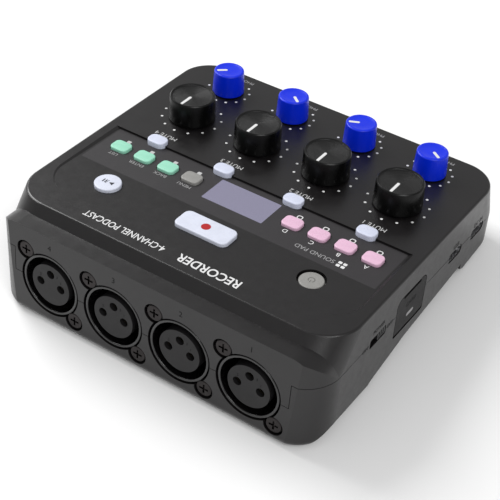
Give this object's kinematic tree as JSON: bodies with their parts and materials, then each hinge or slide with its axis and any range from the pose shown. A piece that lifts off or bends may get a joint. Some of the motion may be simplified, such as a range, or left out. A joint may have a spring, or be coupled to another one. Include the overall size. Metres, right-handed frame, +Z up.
{
  "type": "portable field recorder",
  "caption": "Portable podcast field recorder with XLR inputs on a sloping connector housing, level and headphone knobs, mute keys, sound pads and a small display.",
  "frame": {"origin": "below the middle of the overall box, on the plane of the feet", "axes": "+X to the user's right, +Y away from the user towards the XLR inputs, +Z up"},
  "size_m": [0.122, 0.1216, 0.0394],
  "materials": {
    "case_black": "fine texture, semi-matt",
    "cover_black": "soft-touch matt",
    "overlay": "satin printed film",
    "window": "protective film over the display",
    "module": "polished",
    "connector_black": "moulded, semi-gloss",
    "insert_grey": "moulded, matt",
    "contact_metal": "plated",
    "screw_black": "black zinc",
    "board_green": "solder mask",
    "knob_black": "turned top, satin",
    "knob_blue": "moulded, satin",
    "plated_steel": "bright plating",
    "component_black": "moulded",
    "mute_white": "translucent silicone",
    "pad_pink": "translucent silicone",
    "key_green": "translucent silicone",
    "key_grey": "silicone",
    "key_white": "satin moulded",
    "cell_wrap": "printed sleeve",
    "foot_rubber": "matt"
  },
  "bodies": {
    "chassis": {"batteries": "cell_wrap", "battery_contacts": "contact_metal", "bottom_case": "case_black", "card_socket": "plated_steel", "case_screws": "screw_black", "control_board": "board_green", "deck_overlay": "overlay", "display_module": "module", "display_window": "window", "input_board": "board_green", "level_pots": "component_black", "main_board": "board_green", "phone_jacks": "component_black", "phones_pots": "component_black", "rubber_feet": "foot_rubber", "switch_body": "component_black", "tact_switches": "component_black", "top_case": "case_black", "usb_ports": "plated_steel", "xlr_contacts": "contact_metal", "xlr_inserts": "insert_grey", "xlr_screws": "screw_black", "xlr_shell_1": "connector_black", "xlr_shell_2": "connector_black", "xlr_shell_3": "connector_black", "xlr_shell_4": "connector_black"},
    "level_1": {"level_knob_1": "knob_black", "level_shaft_1": "plated_steel"},
    "phones_1": {"phones_knob_1": "knob_blue", "phones_shaft_1": "plated_steel"},
    "level_2": {"level_knob_2": "knob_black", "level_shaft_2": "plated_steel"},
    "phones_2": {"phones_knob_2": "knob_blue", "phones_shaft_2": "plated_steel"},
    "level_3": {"level_knob_3": "knob_black", "level_shaft_3": "plated_steel"},
    "phones_3": {"phones_knob_3": "knob_blue", "phones_shaft_3": "plated_steel"},
    "level_4": {"level_knob_4": "knob_black", "level_shaft_4": "plated_steel"},
    "phones_4": {"phones_knob_4": "knob_blue", "phones_shaft_4": "plated_steel"},
    "mute_1": {"mute_button_1": "mute_white"},
    "mute_2": {"mute_button_2": "mute_white"},
    "mute_3": {"mute_button_3": "mute_white"},
    "mute_4": {"mute_button_4": "mute_white"},
    "pad_1": {"sound_pad_1": "pad_pink"},
    "pad_2": {"sound_pad_2": "pad_pink"},
    "pad_3": {"sound_pad_3": "pad_pink"},
    "pad_4": {"sound_pad_4": "pad_pink"},
    "menu": {"menu_button": "key_grey"},
    "function_1": {"function_button_1": "key_green"},
    "function_2": {"function_button_2": "key_green"},
    "function_3": {"function_button_3": "key_green"},
    "record": {"record_button": "key_white"},
    "play": {"play_button": "key_white"},
    "power": {"power_button": "key_grey"},
    "slider": {"switch_slider": "component_black"},
    "cover": {"card_cover": "cover_black"},
    "door": {"battery_door": "case_black"}
  },
  "joints": [
    {"name": "level_1_turn", "type": "hinge", "parent": "chassis", "child": "level_1", "pos_m": [-0.0405, -0.02207, 0.02964], "axis": [0, -0.1045, 0.9945], "range_deg": [-140, 140]},
    {"name": "phones_1_turn", "type": "hinge", "parent": "chassis", "child": "phones_1", "pos_m": [-0.0405, -0.04394, 0.02734], "axis": [0, -0.1045, 0.9945], "range_deg": [-194, 86]},
    {"name": "level_2_turn", "type": "hinge", "parent": "chassis", "child": "level_2", "pos_m": [-0.0135, -0.02207, 0.02964], "axis": [0, -0.1045, 0.9945], "range_deg": [-140, 140]},
    {"name": "phones_2_turn", "type": "hinge", "parent": "chassis", "child": "phones_2", "pos_m": [-0.0135, -0.04394, 0.02734], "axis": [0, -0.1045, 0.9945], "range_deg": [-78, 202]},
    {"name": "level_3_turn", "type": "hinge", "parent": "chassis", "child": "level_3", "pos_m": [0.0135, -0.02207, 0.02964], "axis": [0, -0.1045, 0.9945], "range_deg": [-140, 140]},
    {"name": "phones_3_turn", "type": "hinge", "parent": "chassis", "child": "phones_3", "pos_m": [0.0135, -0.04394, 0.02734], "axis": [0, -0.1045, 0.9945], "range_deg": [-190, 90]},
    {"name": "level_4_turn", "type": "hinge", "parent": "chassis", "child": "level_4", "pos_m": [0.0405, -0.02207, 0.02964], "axis": [0, -0.1045, 0.9945], "range_deg": [-140, 140]},
    {"name": "phones_4_turn", "type": "hinge", "parent": "chassis", "child": "phones_4", "pos_m": [0.0405, -0.04394, 0.02734], "axis": [0, -0.1045, 0.9945], "range_deg": [-91, 189]},
    {"name": "mute_1_press", "type": "slide", "parent": "chassis", "child": "mute_1", "axis": [0, 0.1045, -0.9945], "range_m": [0, 0.00045], "stiffness_N_per_m": 400},
    {"name": "mute_2_press", "type": "slide", "parent": "chassis", "child": "mute_2", "axis": [0, 0.1045, -0.9945], "range_m": [0, 0.00045], "stiffness_N_per_m": 400},
    {"name": "mute_3_press", "type": "slide", "parent": "chassis", "child": "mute_3", "axis": [0, 0.1045, -0.9945], "range_m": [0, 0.00045], "stiffness_N_per_m": 400},
    {"name": "mute_4_press", "type": "slide", "parent": "chassis", "child": "mute_4", "axis": [0, 0.1045, -0.9945], "range_m": [0, 0.00045], "stiffness_N_per_m": 400},
    {"name": "pad_1_press", "type": "slide", "parent": "chassis", "child": "pad_1", "axis": [0, 0.1045, -0.9945], "range_m": [0, 0.00045], "stiffness_N_per_m": 400},
    {"name": "pad_2_press", "type": "slide", "parent": "chassis", "child": "pad_2", "axis": [0, 0.1045, -0.9945], "range_m": [0, 0.00045], "stiffness_N_per_m": 400},
    {"name": "pad_3_press", "type": "slide", "parent": "chassis", "child": "pad_3", "axis": [0, 0.1045, -0.9945], "range_m": [0, 0.00045], "stiffness_N_per_m": 400},
    {"name": "pad_4_press", "type": "slide", "parent": "chassis", "child": "pad_4", "axis": [0, 0.1045, -0.9945], "range_m": [0, 0.00045], "stiffness_N_per_m": 400},
    {"name": "menu_press", "type": "slide", "parent": "chassis", "child": "menu", "axis": [0, 0.1045, -0.9945], "range_m": [0, 0.00045], "stiffness_N_per_m": 400},
    {"name": "function_1_press", "type": "slide", "parent": "chassis", "child": "function_1", "axis": [0, 0.1045, -0.9945], "range_m": [0, 0.00045], "stiffness_N_per_m": 400},
    {"name": "function_2_press", "type": "slide", "parent": "chassis", "child": "function_2", "axis": [0, 0.1045, -0.9945], "range_m": [0, 0.00045], "stiffness_N_per_m": 400},
    {"name": "function_3_press", "type": "slide", "parent": "chassis", "child": "function_3", "axis": [0, 0.1045, -0.9945], "range_m": [0, 0.00045], "stiffness_N_per_m": 400},
    {"name": "record_press", "type": "slide", "parent": "chassis", "child": "record", "axis": [0, 0.1045, -0.9945], "range_m": [0, 0.00045], "stiffness_N_per_m": 400},
    {"name": "play_press", "type": "slide", "parent": "chassis", "child": "play", "axis": [0, 0.1045, -0.9945], "range_m": [0, 0.00045], "stiffness_N_per_m": 400},
    {"name": "power_press", "type": "slide", "parent": "chassis", "child": "power", "axis": [0, 0.1045, -0.9945], "range_m": [0, 0.00045], "stiffness_N_per_m": 400},
    {"name": "slider_slide", "type": "slide", "parent": "chassis", "child": "slider", "axis": [0, 0.9945, 0.1045], "range_m": [0, 0.004]},
    {"name": "cover_swing", "type": "hinge", "parent": "chassis", "child": "cover", "pos_m": [-0.0602, 0.00503, 0.01097], "axis": [0, -0.9945, -0.1045], "range_deg": [0, 95]},
    {"name": "door_swing", "type": "hinge", "parent": "chassis", "child": "door", "pos_m": [0.0225, -0.00464, 0.00458], "axis": [-1, 0, 0], "range_deg": [0, 100]}
  ]
}
